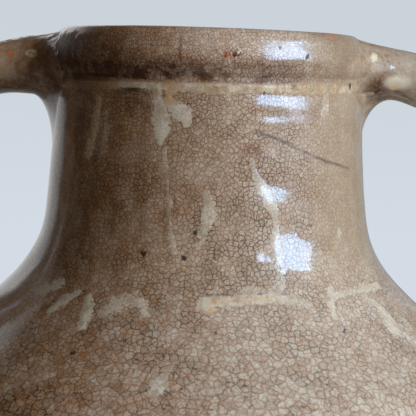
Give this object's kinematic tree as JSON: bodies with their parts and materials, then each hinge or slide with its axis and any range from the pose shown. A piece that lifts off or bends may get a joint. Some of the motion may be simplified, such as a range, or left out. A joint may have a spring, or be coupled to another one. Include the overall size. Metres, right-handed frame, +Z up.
{
  "type": "two-handled jug",
  "caption": "Wide-necked two-handled jug with a swelling body, banded rim, foot ring and trailed slip ornament, in crackle-glazed earthenware.",
  "frame": {"origin": "centre of the foot ring's flat underside", "axes": "+Z up the jug's axis, from the foot to the rim; the two handles lie along -X and +X; the side with the ornament seen in the picture faces -Y"},
  "size_m": [0.246, 0.246, 0.33],
  "materials": {
    "crackle_glaze": "glossy transparent glaze over buff clay, finely crazed, with brown stain in the cracks and darker pooling at the rim and on one side",
    "cream_slip": "raised cream slip under the glaze, tinged ochre at its edges",
    "bare_clay": "unglazed fired clay, matt, on the foot ring"
  },
  "bodies": {
    "root": {"foot_ring": "bare_clay", "lower_body": "crackle_glaze", "upper_body": "crackle_glaze", "neck": "crackle_glaze", "rim_band": "crackle_glaze", "handle_left": "crackle_glaze", "handle_right": "crackle_glaze", "rim_line_front": "cream_slip", "rim_line_back": "cream_slip", "neck_trail_front_1": "cream_slip", "neck_trail_front_2": "cream_slip", "neck_trail_front_3": "cream_slip", "neck_trail_front_4": "cream_slip", "neck_trail_front_5": "cream_slip", "neck_trail_front_6": "cream_slip", "neck_trail_front_7": "cream_slip", "neck_trail_back_1": "cream_slip", "neck_trail_back_2": "cream_slip", "neck_trail_back_3": "cream_slip", "neck_trail_back_4": "cream_slip", "shoulder_stroke_front_1": "cream_slip", "shoulder_stroke_front_2": "cream_slip", "shoulder_stroke_front_3": "cream_slip", "shoulder_stroke_front_4": "cream_slip", "shoulder_stroke_front_5": "cream_slip", "shoulder_stroke_front_6": "cream_slip", "shoulder_stroke_front_7": "cream_slip", "shoulder_stroke_front_8": "cream_slip", "shoulder_stroke_front_9": "cream_slip", "shoulder_stroke_back_1": "cream_slip", "shoulder_stroke_back_2": "cream_slip", "shoulder_stroke_back_3": "cream_slip", "shoulder_stroke_back_4": "cream_slip", "shoulder_stroke_back_5": "cream_slip"}
  },
  "joints": []
}
